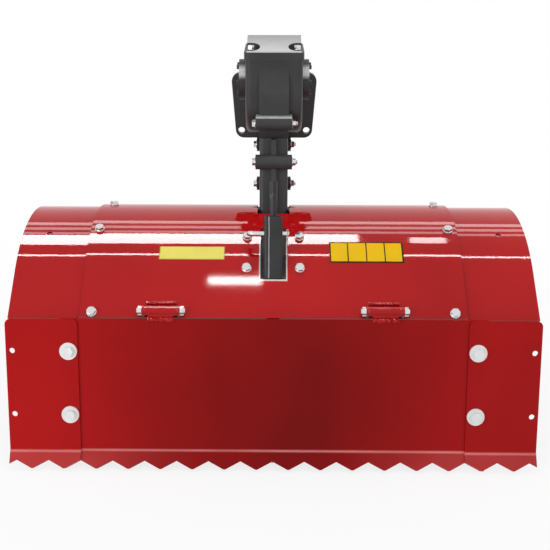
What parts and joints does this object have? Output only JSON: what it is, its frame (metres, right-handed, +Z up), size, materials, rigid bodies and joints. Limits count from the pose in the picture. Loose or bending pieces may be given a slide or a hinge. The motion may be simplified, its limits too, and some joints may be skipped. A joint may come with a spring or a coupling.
{
  "type": "rotavator",
  "caption": "Rotavator for a two-wheeled tractor: rolled steel hood with bolted wings, toothed rear flap, tined rotor, gear case with coupling flange and a pinned depth spur.",
  "frame": {"origin": "middle of the bounding box's base, on the floor under the tines", "axes": "+Z up, +Y forward towards the tractor, +X to the right seen from behind, along the rotor"},
  "size_m": [0.85, 0.5253, 0.64],
  "materials": {
    "red_paint": "gloss red paint",
    "black_casting": "sand-cast, painted satin black",
    "machined_alloy": "machined",
    "zinc_plate": "bright zinc",
    "black_paint": "satin black paint",
    "bare_steel": "turned steel",
    "tine_steel": "black paint, bare at the tips"
  },
  "bodies": {
    "frame": {"bearing_cover_left": "black_paint", "bearing_cover_right": "black_paint", "coupling_flange": "black_casting", "depth_pin": "zinc_plate", "depth_sleeve": "black_paint", "end_cheek_left": "red_paint", "end_cheek_right": "red_paint", "gear_case": "black_casting", "gearbox_casting": "black_casting", "hinge_ears_left": "red_paint", "hinge_ears_right": "red_paint", "hinge_pin_left": "zinc_plate", "hinge_pin_right": "zinc_plate", "hood_bracket_left": "black_paint", "hood_bracket_right": "black_paint", "hood_center": "red_paint", "hood_wing_left": "red_paint", "hood_wing_right": "red_paint", "spur_saddle": "black_paint", "top_cap": "machined_alloy"},
    "flap": {"flap_bolts": "zinc_plate", "flap_center": "red_paint", "flap_wing_left": "red_paint", "flap_wing_right": "red_paint", "hinge_barrel_left": "red_paint", "hinge_barrel_right": "red_paint"},
    "rotor": {"rotor_hub_left": "black_paint", "rotor_hub_right": "black_paint", "rotor_shaft": "bare_steel", "tines_left_1": "tine_steel", "tines_left_2": "tine_steel", "tines_left_3": "tine_steel", "tines_right_1": "tine_steel", "tines_right_2": "tine_steel", "tines_right_3": "tine_steel"},
    "input": {"input_shaft": "bare_steel"},
    "spur": {"depth_spur": "black_paint", "spur_shoe": "black_paint"}
  },
  "joints": [
    {"name": "rotor_spin", "type": "hinge", "parent": "frame", "child": "rotor", "pos_m": [0, 0.0396, 0.16], "axis": [1, 0, 0], "continuous": true},
    {"name": "input_spin", "type": "hinge", "parent": "frame", "child": "input", "pos_m": [0, 0.2136, 0.498], "axis": [0, 1, 0], "continuous": true},
    {"name": "flap_hinge", "type": "hinge", "parent": "frame", "child": "flap", "pos_m": [0, -0.18801, 0.25201], "axis": [-1, 0, 0], "range_deg": [0, 75]},
    {"name": "depth_slide", "type": "slide", "parent": "frame", "child": "spur", "axis": [0, 0.2756, 0.9613], "range_m": [-0.008, 0.06]}
  ],
  "couplings": [
    {"joint": "input_spin", "follows": "rotor_spin", "ratio": 3}
  ]
}
